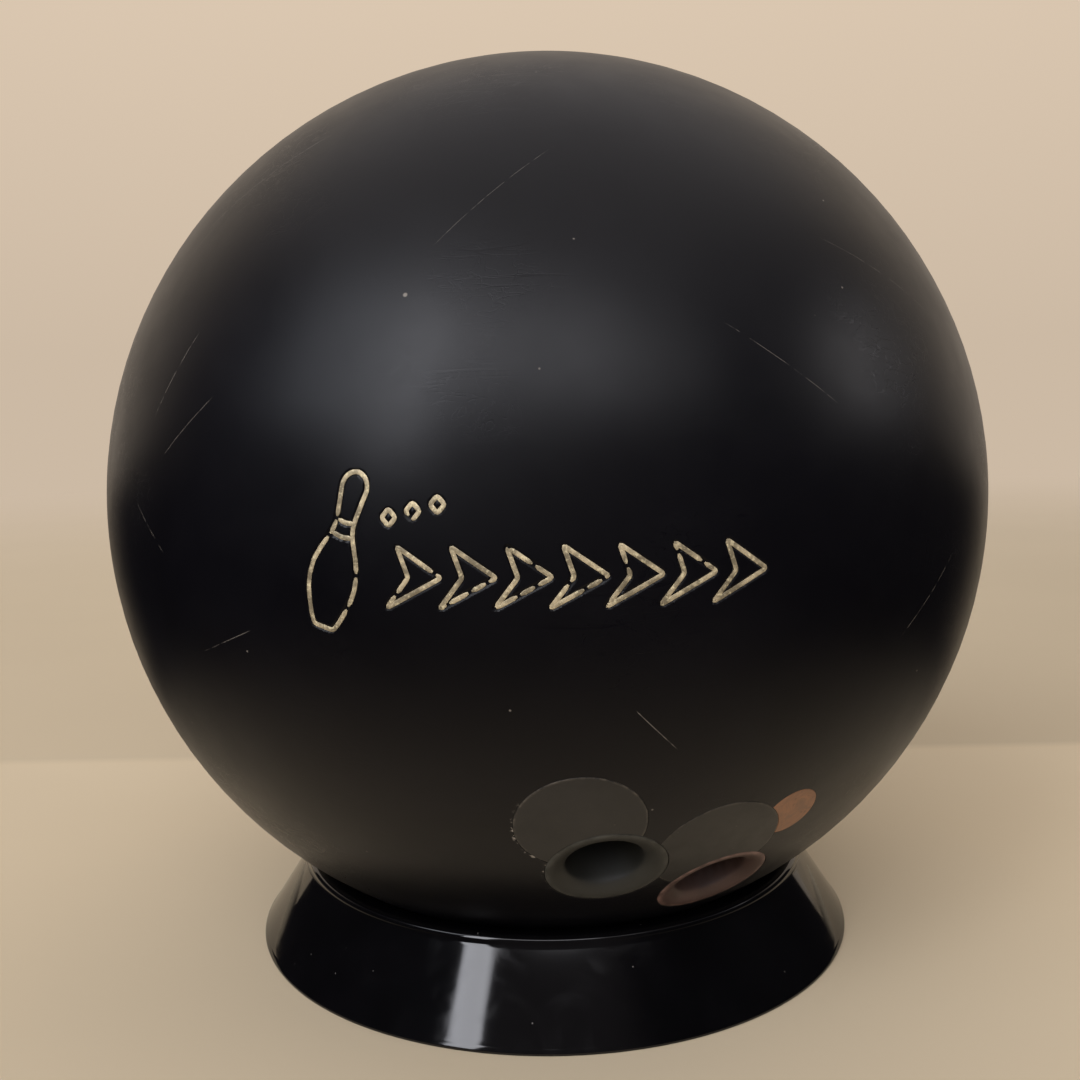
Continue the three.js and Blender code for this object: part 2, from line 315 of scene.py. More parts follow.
def closed_grid(points, poles=True):
    """Vertices and faces of a grid that wraps round its columns.

    With poles, its first and last rows are each one point, so they become one vertex with a fan
    of triangles. Without, the rows wrap too, which closes a tube on itself.
    """
    rows, columns = points.shape[:2]
    if not poles:
        return points.reshape(-1, 3), [grid_faces(rows, columns, wrap_rows=True)]
    body = points[1:-1]
    vertices = np.vstack([points[0, :1], body.reshape(-1, 3), points[-1, :1]])
    ring = np.arange(columns) + 1
    last = ring + (rows - 3) * columns
    end = len(vertices) - 1
    fans = [
        np.stack([np.zeros_like(ring), np.roll(ring, -1), ring], axis=-1),
        np.stack([np.full_like(ring, end), last, np.roll(last, -1)], axis=-1),
    ]
    return vertices, [grid_faces(rows - 2, columns, start=1), *fans]


def facing_out(vertices, faces, outward=True):
    """The faces, turned round if the volume that they enclose comes out with the wrong sign."""
    volume = 0.0
    for group in faces:
        for corner in range(1, group.shape[1] - 1):
            a, b, c = (vertices[group[:, k]] for k in (0, corner, corner + 1))
            volume += np.einsum("ij,ij->i", a, np.cross(b, c)).sum()
    return faces if (volume > 0) == outward else [group[:, ::-1] for group in faces]


def mesh_of(name, parts):
    """A smooth mesh of one or more closed parts, each given as its vertices and its faces."""
    vertices = np.vstack([points for points, _ in parts])
    starts = np.cumsum([0] + [len(points) for points, _ in parts])
    groups = [group + start for start, (_, faces) in zip(starts, parts) for group in faces]
    corners = np.concatenate([group.ravel() for group in groups])
    sizes = np.concatenate([np.full(len(group), group.shape[1]) for group in groups])
    mesh = bpy.data.meshes.new(name)
    mesh.vertices.add(len(vertices))
    mesh.vertices.foreach_set("co", vertices.astype(np.float32).ravel())
    mesh.loops.add(len(corners))
    mesh.loops.foreach_set("vertex_index", corners.astype(np.int32))
    mesh.polygons.add(len(sizes))
    mesh.polygons.foreach_set("loop_start", (np.cumsum(sizes) - sizes).astype(np.int32))
    mesh.polygons.foreach_set("use_smooth", np.ones(len(sizes), bool))
    mesh.update(calc_edges=True)
    return mesh


def turned(ball, line, profile, columns=96, swell=None):
    """A shape turned about a hole's axis, whose top can follow the ball's round.

    Each profile row is a radius, a depth and a share. At a share of 1 the depth is measured along
    the axis from the ball's surface over that very point, which lies where the axis's parallel
    through the point enters the ball: at minus b minus the root of b squared minus c, b being the
    point's offset from the centre along the axis and c its squared distance less the squared
    radius. At a share of 0 it is measured from the mouth. swell adds to the radius at each angle
    and depth.
    """
    radius, depth, follow = (column[:, None] for column in np.array(profile, float).T)
    angle = np.linspace(0, 2 * np.pi, columns, endpoint=False)[None, :]
    if swell is not None:
        radius = radius + swell(angle, depth)
    ring = np.cos(angle)[..., None] * line.side + np.sin(angle)[..., None] * line.up
    offset = line.mouth - ball.centre + radius[..., None] * ring
    along = offset @ line.inward
    beyond = (offset**2).sum(-1) - ball.radius**2
    surface = -along - np.sqrt(np.maximum(along**2 - beyond, 0))
    reach = depth + follow * surface
    return ball.centre + offset + reach[..., None] * line.inward


def plug_profile(radius, depth, edge, rings=10):
    """A filler's section: the cap on the ball's round, a broken edge, the wall and the end."""
    cap = [(r, 0, 1) for r in np.linspace(0, radius - edge, rings)]
    return [*cap, (radius, edge, 1), (radius, depth, 0), (0, depth, 0)]


def drill_profile(radius, depth, edge):
    """A drill's section: it starts outside the ball and breaks the hole's edge."""
    wide = radius + edge
    mouth = [(0, -DRILL_START, 0), (wide, -DRILL_START, 0), (wide, 0, 1), (radius, edge, 1)]
    return [*mouth, (radius, depth, 0), (0, depth, 0)]


def placed(name, data):
    """A new object of the data, put in the scene."""
    made = bpy.data.objects.new(name, data)
    bpy.context.scene.collection.objects.link(made)
    return made


def vertices_of(mesh):
    """The places of a mesh's vertices, one row for each."""
    points = np.empty(len(mesh.vertices) * 3, np.float32)
    mesh.vertices.foreach_get("co", points)
    return points.reshape(-1, 3)


def piece(name, mesh, body, node=None):
    """Puts a mesh in the scene as a piece that rides on a body and stands for a node."""
    made = placed(name, mesh)
    if node:
        low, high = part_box(node)
        points = vertices_of(mesh)
        off = max(np.abs(points.min(0) - low).max(), np.abs(points.max(0) - high).max())
        if off > BOX_TOLERANCE:
            raise RuntimeError(f"{name} is {off / MM:.2f} mm off the box of {node}")
        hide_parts(node)
    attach(made, body)
    return made


def drilled(name, mesh, drills):
    """The mesh with the drills taken out of it, one after another."""
    blank = placed(name, mesh)
    tools = []
    for i, tool in enumerate(drills):
        cutter = placed(f"{name}_drill_{i}", mesh_of("drill", [tool]))
        modifier = blank.modifiers.new("drill", "BOOLEAN")
        modifier.operation, modifier.solver, modifier.object = "DIFFERENCE", "MANIFOLD", cutter
        tools.append(cutter)
    bpy.context.view_layer.update()
    cut = blank.evaluated_get(bpy.context.evaluated_depsgraph_get())
    made = bpy.data.meshes.new_from_object(cut)
    if len(made.polygons) < FEWEST_FACES:
        raise RuntimeError(f"drilling {name} left nothing")
    for thing in [blank, *tools]:
        bpy.data.objects.remove(thing)
    made.name = name
    made.polygons.foreach_set("use_smooth", np.ones(len(made.polygons), bool))
    return made


def shade(mesh, ball=None, angle=32):
    """Sharp edges over the angle, and the ball's own normals on faces that lie on its round."""
    mesh.update()
    mesh.set_sharp_from_angle(angle=math.radians(angle))
    if ball is None:
        return
    normals = np.empty(len(mesh.loops) * 3, np.float32)
    mesh.corner_normals.foreach_get("vector", normals)
    corners = np.empty(len(mesh.loops), np.int32)
    mesh.loops.foreach_get("vertex_index", corners)
    totals = np.empty(len(mesh.polygons), np.int32)
    mesh.polygons.foreach_get("loop_total", totals)
    normals = normals.reshape(-1, 3)
    away = vertices_of(mesh) - ball.centre
    far = np.linalg.norm(away, axis=1)
    on_round = (np.abs(far - ball.radius) < ROUND_TOLERANCE)[corners]
    face = np.repeat(np.arange(len(totals)), totals)
    whole = np.bincount(face, weights=~on_round, minlength=len(totals)) == 0
    use = whole[face]
    normals[use] = (away / far[:, None])[corners[use]]
    mesh.normals_split_custom_set(normals)


# ---- The inlaid mark -------------------------------------------------------------------------

# Half the width of a ten-pin at heights up its axis, both as shares of the pin's height.
PIN_HEIGHTS = np.array([
    0, 0.05, 0.15, 0.225, 0.3, 0.392, 0.483, 0.575, 0.625,
    0.667, 0.725, 0.783, 0.842, 0.9, 0.945, 0.98, 1,
])
PIN_HALF_WIDTHS = np.array([
    0.0677, 0.0943, 0.1302, 0.1503, 0.1589, 0.1522, 0.1235, 0.0823, 0.0655,
    0.0599, 0.0623, 0.0698, 0.0764, 0.0849, 0.0750, 0.0480, 0,
])

# The mark in millimetres and degrees. Places are to the right of and above the -Y point.
PIN_PLACE = (-41.5, -15.2)
PIN_HEIGHT = 29
PIN_LEAN = -17
NECK_BANDS = (0.60, 0.69)
BAND_SAG = 0.012
DART_PLACE = (-28.5, -11.2)
DART_SIZE = (8.9, 10.8)
DART_PITCH = 9.6
DARTS = 7
DIAMOND_PLACE = (-27.5, 4.6)
DIAMOND_HALF = (1.3, 1.5)
DIAMOND_STEP = (4.4, 1.1)
DIAMONDS = 3
MARK_MARGIN = 1.5
GROOVE_EASE = 0.27


def leaning(points, place, angle):
    """Points turned by an angle in degrees and moved to a place."""
    angle = math.radians(angle)
    spin = np.array([[math.cos(angle), math.sin(angle)], [-math.sin(angle), math.cos(angle)]])
    return np.asarray(points, float) @ spin + place


def dart(left, low, width, height, slant=0.22):
    """A lane arrow's outline, tip to the right, its height sheared sideways by the slant."""
    shape = np.array([(0, 0), (1, 0.5), (0, 1), (0.34, 0.5)]) * (width, height)
    shape[:, 0] += slant * shape[:, 1]
    return shape + (left, low)


def pin_outline(height):
    """A ten-pin's outline, up one side and down the other."""
    side = np.stack([PIN_HALF_WIDTHS, PIN_HEIGHTS], axis=-1) * height
    return np.vstack([side, (side * (-1, 1))[::-1][1:]])


def mark_outlines():
    """The mark's lines, a pin, darts and diamonds: each its corners and whether it is closed."""
    lines = [(leaning(pin_outline(PIN_HEIGHT), PIN_PLACE, PIN_LEAN), True)]
    for share_up in NECK_BANDS:
        half = np.interp(share_up, PIN_HEIGHTS, PIN_HALF_WIDTHS) * PIN_HEIGHT
        ends = share_up * PIN_HEIGHT
        band = [(-half, ends), (0, ends - BAND_SAG * PIN_HEIGHT), (half, ends)]
        lines.append((leaning(band, PIN_PLACE, PIN_LEAN), False))
    left, low = DART_PLACE
    for number in range(DARTS):
        lines.append((dart(left + DART_PITCH * number, low, *DART_SIZE), True))
    diamond = np.array([(0, -1), (1, 0), (0, 1), (-1, 0)]) * DIAMOND_HALF + DIAMOND_PLACE
    for number in range(DIAMONDS):
        lines.append((diamond + np.multiply(DIAMOND_STEP, number), True))
    return lines


def softened(corners, closed, step=0.5):
    """A line of corners cut into short steps, with its corners rounded by halving them twice."""
    ends = np.vstack([corners, corners[:1]]) if closed else corners
    gaps = np.linalg.norm(np.diff(ends, axis=0), axis=1)
    travelled = np.concatenate([[0], np.cumsum(gaps)])
    pieces = [
        np.linspace(a, b, max(2, int(round((b - a) / step)) + 1))[:-1]
        for a, b in zip(travelled[:-1], travelled[1:])
    ]
    at = np.concatenate(pieces) if closed else np.concatenate([*pieces, travelled[-1:]])
    line = np.stack([np.interp(at, travelled, ends[:, k]) for k in (0, 1)], axis=-1)
    for _ in range(2):
        before, after = (np.roll(line, 1, 0), np.roll(line, -1, 0))
        smooth = 0.25 * before + 0.5 * line + 0.25 * after
        if not closed:
            smooth[[0, -1]] = line[[0, -1]]
        line = smooth
    return line


def distance_to(points, lines):
    """The distance in the plane from each point to the nearest of the lines' segments."""
    nearest = np.full(len(points), np.inf)
    for line, closed in lines:
        starts = line if closed else line[:-1]
        ends = np.roll(line, -1, 0) if closed else line[1:]
        for start, end in zip(starts, ends):
            way = end - start
            reach = np.clip(((points - start) @ way) / max(way @ way, 1e-12), 0, 1)
            gap = np.hypot(*(points - start - reach[:, None] * way).T)
            np.minimum(nearest, gap, out=nearest)
    return nearest


def cover_parts(ball):
    """The shell as two spheres on latitude and longitude, the inner one facing in.

    The rows and columns are close where the mark lies. The radius there is the ball's less the
    groove depth, which eases out over GROOVE_EASE past the stroke's edge.
    """
    sizes = bpy.context.scene.ball_sizes
    lines = [(softened(corners, closed), closed) for corners, closed in mark_outlines()]
    low = np.vstack([line for line, _ in lines]).min(0) - MARK_MARGIN
    high = np.vstack([line for line, _ in lines]).max(0) + MARK_MARGIN
    scale = ball.radius / MM
    fine, coarse = math.radians(0.145), math.radians(3)

    def steps(start, end, size):
        return np.linspace(start, end, max(2, int(math.ceil((end - start) / size)) + 1))

    west, south = low / scale
    east, north = high / scale
    azimuth = np.concatenate([
        steps(west, east, fine)[:-1],
        steps(east, west + 2 * np.pi, coarse)[:-1],
    ])
    elevation = np.concatenate([
        steps(-np.pi / 2, south, coarse)[:-1],
        steps(south, north, fine)[:-1],
        steps(north, np.pi / 2, coarse),
    ])
    rows, columns = np.meshgrid(elevation, azimuth, indexing="ij")
    radius = np.full(rows.shape, ball.radius)
    near = (rows > south) & (rows < north) & (columns < east)
    places = np.stack([columns[near], rows[near]], axis=-1) * scale
    half = sizes.stroke_width / MM / 2
    blend = np.clip((half + GROOVE_EASE - distance_to(places, lines)) / GROOVE_EASE, 0, 1)
    radius[near] -= sizes.groove_depth * blend * blend * (3 - 2 * blend)
    outer = ball.centre + compass(columns, rows) * radius[..., None]
    inner_rows, inner_columns = np.meshgrid(
        np.linspace(-np.pi / 2, np.pi / 2, 49),
        np.linspace(0, 2 * np.pi, 96, endpoint=False),
        indexing="ij",
    )
    inner = ball.centre + compass(inner_columns, inner_rows) * (ball.radius - sizes.cover_thickness)
    parts = []
    for points, outward in ((outer, True), (inner, False)):
        vertices, faces = closed_grid(points)
        parts.append((vertices, facing_out(vertices - ball.centre, faces, outward)))
    return parts


def inlay_parts(ball):
    """The paint in the grooves: a low closed section carried along each run that is not worn.

    The section is flat on top with rounded shoulders and lies just under the ball's surface. A
    run ends where a slow pattern of waves over the ball passes the wear limit.
    """
    sizes = bpy.context.scene.ball_sizes
    half = sizes.stroke_width / MM / 2
    section = np.array(
        [(-1, -0.26), (-1, -0.17), (-0.72, -0.12), (0, -0.10), (0.72, -0.12), (1, -0.17), (1, -0.26)]
    ) * (half, 1)
    parts = []
    for corners, closed in mark_outlines():
        line = softened(corners, closed, 0.35)
        way = unit(np.roll(line, -1, 0) - np.roll(line, 1, 0))
        if not closed:
            way[0], way[-1] = unit(line[1] - line[0]), unit(line[-1] - line[-2])
        aside = np.stack([-way[:, 1], way[:, 0]], axis=-1)
        x, y = line.T
        waves = (
            np.sin(0.9 * x + 1.7 * y) + np.sin(2.3 * x - 1.1 * y + 1.0)
            + np.sin(4.1 * x + 3.7 * y + 2.0) + 0.8 * np.sin(7.9 * y - 6.1 * x)
        ) / 3.8
        kept = waves > 2 * sizes.wear - 0.82
        if kept.all() and closed:
            runs = [(np.arange(len(line)), True)]
        else:
            order = np.arange(len(line))
            if closed:
                order = np.roll(order, -int(np.argmin(kept)))
            breaks = np.flatnonzero(np.diff(kept[order].astype(int))) + 1
            runs = [(run, False) for run in np.split(order, breaks) if kept[run[0]] and len(run) > 3]
        for run, whole in runs:
            steps = np.arange(len(run))
            taper = np.ones(len(run)) if whole else np.minimum(1, 0.45 + 0.3 * np.minimum(steps, steps[::-1]))
            flat = line[run][:, None] + aside[run][:, None] * (section[:, 0] * taper[:, None])[..., None]
            deep = np.broadcast_to(section[:, 1], flat.shape[:2]) * MM
            points = compass(*(flat.transpose(2, 0, 1) * MM / ball.radius)) * (ball.radius + deep)[..., None]
            if whole:
                vertices, faces = closed_grid(points, poles=False)
            else:
                start, end = (
                    row.mean(1, keepdims=True).repeat(points.shape[1], 1) for row in (points[:1], points[-1:])
                )
                vertices, faces = closed_grid(np.concatenate([start, points, end]))
            middle = vertices.mean(0)
            parts.append((vertices + ball.centre, facing_out(vertices - middle, faces)))
    return parts


# ---- Materials -------------------------------------------------------------------------------


class Shader:
    """Builds one node tree. Each method returns a socket and takes sockets or plain values."""

    def __init__(self, tree):
        self.tree = tree
        tree.nodes.clear()

    def add(self, kind, values=(), out=0, **options):
        """A node with its inputs set by name or number, giving one of its outputs."""
        node = self.tree.nodes.new(kind)
        for option, value in options.items():
            setattr(node, option, value)
        for key, value in dict(values).items():
            if isinstance(value, bpy.types.NodeSocket):
                self.tree.links.new(value, node.inputs[key])
            elif value is not None:
                node.inputs[key].default_value = value
        return node.outputs[out] if out is not None else node

    def math(self, operation, a, b=None, clamp=False):
        return self.add("ShaderNodeMath", {0: a, 1: b}, operation=operation, use_clamp=clamp)

    def product(self, first, *others):
        """Several masks multiplied together."""
        for one in others:
            first = self.math("MULTIPLY", first, one)
        return first

    def vector(self, operation, a, b=None, out=0):
        return self.add("ShaderNodeVectorMath", {0: a, 1: b}, out, operation=operation)

    def fit(self, value, low, high, to_low=0.0, to_high=1.0, smooth=False):
        """A value's range carried to another range, with nothing past its ends."""
        kind = "SMOOTHSTEP" if smooth else "LINEAR"
        values = {"Value": value, "From Min": low, "From Max": high, "To Min": to_low, "To Max": to_high}
        return self.add("ShaderNodeMapRange", values, interpolation_type=kind)

    def noise(self, place, scale, detail=3.0, roughness=0.55, distortion=0.0):
        values = {
            "Vector": place,
            "Scale": scale,
            "Detail": detail,
            "Roughness": roughness,
            "Distortion": distortion,
        }
        return self.add("ShaderNodeTexNoise", values)

    def mix(self, factor, a, b):
        """Colour a turning into colour b as the factor goes from 0 to 1."""
        return self.add("ShaderNodeMix", {0: factor, 6: four(a), 7: four(b)}, 2, data_type="RGBA")

    def bump(self, height, distance, strength=1.0, normal=None):
        values = {"Height": height, "Distance": distance, "Strength": strength, "Normal": normal}
        return self.add("ShaderNodeBump", values)

    def cells(self, place, scale, feature="F1", out=0):
        return self.add("ShaderNodeTexVoronoi", {"Vector": place, "Scale": scale}, out, feature=feature)


def four(value):
    """A colour with its alpha, or a socket as it is."""
    return value if isinstance(value, bpy.types.NodeSocket) else (*tuple(value)[:3], 1.0)


def tinted(tone, factor, lift=0.0):
    """A colour made lighter or darker, with no part over 1."""
    return tuple(min(1, part * factor + lift) for part in tone)


def material(name):
    """A new material, its shader tree and the place on the piece in metres."""
    made = bpy.data.materials.new(name)
    made.use_nodes = True
    shader = Shader(made.node_tree)
    return made, shader, shader.add("ShaderNodeTexCoord", out=3)


def finish(shader, **values):
    """Ends a material in the standard shader with these inputs."""
    names = {key.replace("_", " ").title().replace("Ior", "IOR"): value for key, value in values.items()}
    surface = shader.add("ShaderNodeBsdfPrincipled", names)
    shader.add("ShaderNodeOutputMaterial", {"Surface": surface}, out=None)


def dress(made, *materials):
    """Gives a piece its materials."""
    made.data.materials.clear()
    for one in materials:
        made.data.materials.append(one)


def axis_distance(shader, place, line):
    """How far a place is from a hole's axis: the length of its offset crossed with the axis."""
    offset = shader.vector("SUBTRACT", place, tuple(line.mouth))
    return shader.vector("LENGTH", shader.vector("CROSS_PRODUCT", offset, tuple(line.inward)), out=1)


def specks(shader, place, scale, size, kept):
    """Small round specks: the middles of a share of the cells, size being a share of a cell."""
    near = shader.fit(shader.cells(place, scale), size, size * 0.55)
    random = shader.cells(place, scale, out=1)
    chosen = shader.math("GREATER_THAN", shader.add("ShaderNodeSeparateColor", {0: random}), 1 - kept)
    return shader.math("MULTIPLY", near, chosen)


def scratch(shader, place, ball, start, end, width):
    """One straight scratch, from one azimuth and elevation in degrees to another.

    It lies on the plane through both ends and the ball's centre, and its mask falls off with the
    distance from that plane and past its ends.
    """
    a, b = (compass(*np.radians(np.array(point, float))) for point in (start, end))
    square = unit(np.cross(a, b))
    middle = unit(a + b)
    reach = float(np.linalg.norm(np.cross(middle, b))) * ball.radius
    away = shader.vector("SUBTRACT", place, tuple(ball.centre))
    off = shader.math("ABSOLUTE", shader.vector("DOT_PRODUCT", away, tuple(square), out=1))
    along_way = unit(np.cross(square, middle))
    run = shader.math("ABSOLUTE", shader.vector("DOT_PRODUCT", away, tuple(along_way), out=1))
    front = shader.math("GREATER_THAN", shader.vector("DOT_PRODUCT", away, tuple(middle), out=1), 0.0)
    line = shader.fit(off, width, width * 0.35)
    ends = shader.fit(run, reach, reach * 0.75)
    return shader.product(line, ends, front)


# Scratches on the cover: start and end as azimuth and elevation in degrees, width in mm, strength.
SCRATCHES = (
    ((-52, 34), (-34, 47), 0.10, 0.45),
    ((-60, 22), (-49, 35), 0.08, 0.35),
    ((-47, 12), (-41, 21), 0.10, 0.50),
    ((-44, 8), (-36, 14), 0.08, 0.40),
    ((-50, 3), (-44, -2), 0.09, 0.45),
    ((-39, -12), (-31, -9), 0.10, 0.40),
    ((-12, 28), (2, 41), 0.07, 0.30),
    ((18, 20), (30, 12), 0.08, 0.35),
    ((34, 30), (52, 22), 0.07, 0.30),
    ((40, -12), (49, -4), 0.09, 0.40),
    ((8, -16), (13, -21), 0.10, 0.45),
    ((120, 20), (141, 33), 0.08, 0.40),
    ((200, 10), (214, -6), 0.09, 0.40),
)


# Fine sweeps of hairlines on the cover: rotation, stretch along each axis and scale.
HAIRLINES = (
    ((0.3, 0.2, 0.9), (1, 14, 1), 260),
    ((1.1, 0.7, 0.2), (12, 1, 1), 230),
)

# Chipped edges of the cover: the hole, its radius in mm and the side that is chipped.
CHIPPED = (
    ("finger_left", 12.3, (-0.75, 0.15, 0.62)),
    ("old_left", 12.7, (-0.8, 0.1, -0.4)),
)


def combined(shader, masks):
    """The greatest of several masks."""
    whole = masks[0]
    for one in masks[1:]:
        whole = shader.math("MAXIMUM", whole, one)
    return whole


def cover_material(ball, lines):
    """Near-black satin shell: faint clouds, fine grain, hairline swirls, scratches and chips."""
    looks = bpy.context.scene.finishes
    made, shader, place = material("coverstock satin")
    clouds = shader.noise(place, 22, 4, 0.6, 0.8)
    base = shader.mix(shader.fit(clouds, 0.35, 0.7), looks.cover, looks.cover_light)

    hairlines = []
    for turned_by, stretch, scale in HAIRLINES:
        swept = shader.add(
            "ShaderNodeMapping",
            {"Vector": place, "Rotation": turned_by, "Scale": tuple(1 / s for s in stretch)},
        )
        sweep = shader.noise(swept, scale, 2, 0.5, 1.2)
        ridge = shader.math("ABSOLUTE", shader.math("SUBTRACT", sweep, 0.5))
        hairlines.append(shader.fit(ridge, 0.012, 0.002))
    patchy = shader.fit(shader.noise(place, 30, 2), 0.5, 0.66)
    hair = shader.math("MULTIPLY", combined(shader, hairlines), patchy)

    marks = []
    for start, end, width, strength in SCRATCHES:
        line = scratch(shader, place, ball, start, end, width * MM)
        marks.append(shader.math("MULTIPLY", line, strength))
    broken = shader.fit(shader.noise(place, 420, 2), 0.38, 0.52)
    scratches = shader.math("MULTIPLY", combined(shader, marks), broken)

    chips = []
    for name, radius, towards in CHIPPED:
        line = lines[name]
        past = shader.math("SUBTRACT", axis_distance(shader, place, line), radius * MM)
        band = shader.fit(shader.math("ABSOLUTE", past), 0.75 * MM, 0.15 * MM)
        offset = shader.vector("NORMALIZE", shader.vector("SUBTRACT", place, tuple(line.mouth)))
        side = shader.fit(shader.vector("DOT_PRODUCT", offset, tuple(unit(towards)), out=1), 0.45, 0.95)
        bits = shader.fit(shader.noise(place, 900, 3, 0.7), 0.56, 0.62)
        chips.append(shader.product(band, side, bits))
    dust = shader.math("MULTIPLY", specks(shader, place, 160, 0.045, 0.16), 0.5)
    big = shader.math("MULTIPLY", specks(shader, place, 45, 0.022, 0.16), 0.8)
    wear = combined(shader, [scratches, *chips, dust, big])
    colour_out = shader.mix(wear, base, looks.scuff)

    grain = shader.noise(place, 1500, 2, 0.6)
    waves = shader.noise(place, 75, 3, 0.5)
    satin = looks.cover_roughness
    rough = shader.fit(shader.noise(place, 60, 4, 0.6), 0.3, 0.7, satin - 0.03, satin + 0.03)
    rough = shader.math("ADD", rough, shader.math("MULTIPLY", wear, 0.25), clamp=True)
    rough = shader.math("SUBTRACT", rough, shader.math("MULTIPLY", hair, 0.10), clamp=True)
    normal = shader.bump(waves, 0.05 * MM, 0.35)
    normal = shader.bump(grain, 0.012 * MM, 0.35, normal)
    normal = shader.bump(shader.math("ADD", hair, scratches), -0.02 * MM, 0.5, normal)
    finish(shader, base_color=colour_out, roughness=rough, normal=normal, ior=1.35)
    return made


def plug_material(name, line, radius, tone, edge_strength):
    """A filler: close to the cover's black, with fine cloudy grain and its glue line."""
    looks = bpy.context.scene.finishes
    made, shader, place = material(name)
    clouds = shader.noise(place, 120, 4, 0.65, 0.5)
    dark, light = tinted(looks.plug, 0.8 * tone), tinted(looks.plug, 1.35 * tone)
    base = shader.mix(shader.fit(clouds, 0.3, 0.75), dark, light)
    past = axis_distance(shader, place, line)
    rim = shader.fit(past, radius - 0.55 * MM, radius - 0.08 * MM)
    ragged = shader.fit(shader.noise(place, 500, 3, 0.65), 0.4, 0.62)
    glue = shader.product(rim, ragged, edge_strength)
    bits = shader.math("MULTIPLY", specks(shader, place, 330, 0.09, 0.2), 0.35)
    base = shader.mix(combined(shader, [glue, bits]), base, looks.plug_edge)
    rough = shader.fit(shader.noise(place, 260, 3), 0.3, 0.7, 0.38, 0.47)
    normal = shader.bump(shader.noise(place, 900, 3, 0.6), 0.02 * MM, 0.4)
    finish(shader, base_color=base, roughness=rough, normal=normal)
    return made


def pin_material():
    """Tan cast resin of the locating pin, with streaks and small dark patches."""
    looks = bpy.context.scene.finishes
    made, shader, place = material("core pin resin")
    streaks = shader.noise(place, 260, 4, 0.6, 2.0)
    base = shader.mix(shader.fit(streaks, 0.3, 0.7), tinted(looks.pin, 0.72), tinted(looks.pin, 1.25))
    dark = shader.fit(shader.noise(place, 700, 2), 0.62, 0.7)
    base = shader.mix(shader.math("MULTIPLY", dark, 0.5), base, tinted(looks.pin, 0.3))
    rough = shader.fit(streaks, 0.3, 0.7, 0.38, 0.5)
    normal = shader.bump(streaks, 0.03 * MM, 0.4)
    finish(shader, base_color=base, roughness=rough, normal=normal)
    return made


def insert_material(name, tone, line, worn):
    """Moulded vinyl of a finger insert: fine pebble, painted shade down the bore and a paler rubbed rim."""
    made, shader, place = material(name)
    past = axis_distance(shader, place, line)
    cloud = shader.noise(place, 150, 4, 0.6, 0.6)
    base = shader.mix(shader.fit(cloud, 0.3, 0.72), tinted(tone, 0.78), tinted(tone, 1.25))
    rubbed = shader.fit(shader.noise(place, 350, 3, 0.6), 0.35, 0.65)
    rim = shader.product(shader.fit(past, 10.9 * MM, 11.8 * MM), worn, rubbed)
    base = shader.mix(rim, base, tinted(tone, 3.2, 0.02))
    # Painted shade: the bore's wall is painted darker the deeper it goes into the hole.
    bore = shader.fit(past, 8.25 * MM, 7.95 * MM)
    offset = shader.vector("SUBTRACT", place, tuple(line.mouth))
    deep = shader.fit(shader.vector("DOT_PRODUCT", offset, tuple(line.inward), out=1), 1 * MM, 14 * MM)
    base = shader.mix(shader.math("MULTIPLY", bore, deep), base, tinted(tone, 0.35))
    pebble = shader.cells(place, 1500)
    rough = shader.fit(cloud, 0.3, 0.7, 0.48, 0.62)
    normal = shader.bump(pebble, 0.03 * MM, 0.35)
    finish(shader, base_color=base, roughness=rough, normal=normal)
    return made


def resin_material(name, tone, scale, contrast, low, high):
    """Cast or moulded resin: clouds at one scale, specks of filler and a fine skin."""
    made, shader, place = material(name)
    cloud = shader.noise(place, scale, 5, 0.6, 0.7)
    dark, light = tinted(tone, 1 - contrast), tinted(tone, 1 + contrast)
    base = shader.mix(shader.fit(cloud, 0.28, 0.74), dark, light)
    bits = shader.math("MULTIPLY", specks(shader, place, scale * 6, 0.16, 0.3), 0.5)
    base = shader.mix(bits, base, tinted(tone, 2.2, 0.01))
    rough = shader.fit(cloud, 0.3, 0.7, low, high)
    normal = shader.bump(shader.noise(place, scale * 10, 3, 0.6), 0.03 * MM, 0.5)
    finish(shader, base_color=base, roughness=rough, normal=normal)
    return made


def inlay_material():
    """Pale gold paint: rubbed thin in patches, grainy and barely glossy."""
    looks = bpy.context.scene.finishes
    made, shader, place = material("inlay gold paint")
    patch = shader.noise(place, 330, 4, 0.65)
    thin = shader.fit(patch, 0.60, 0.42)
    base = shader.mix(thin, looks.inlay, tinted(looks.inlay, 0.42))
    bright = shader.math("MULTIPLY", shader.fit(shader.noise(place, 1300, 2), 0.55, 0.68), 0.6)
    base = shader.mix(bright, base, tinted(looks.inlay, 1.7))
    rough = shader.fit(patch, 0.3, 0.7, 0.42, 0.62)
    normal = shader.bump(shader.noise(place, 2200, 2), 0.03 * MM, 0.6)
    finish(shader, base_color=base, roughness=rough, normal=normal, metallic=0.35)
    return made


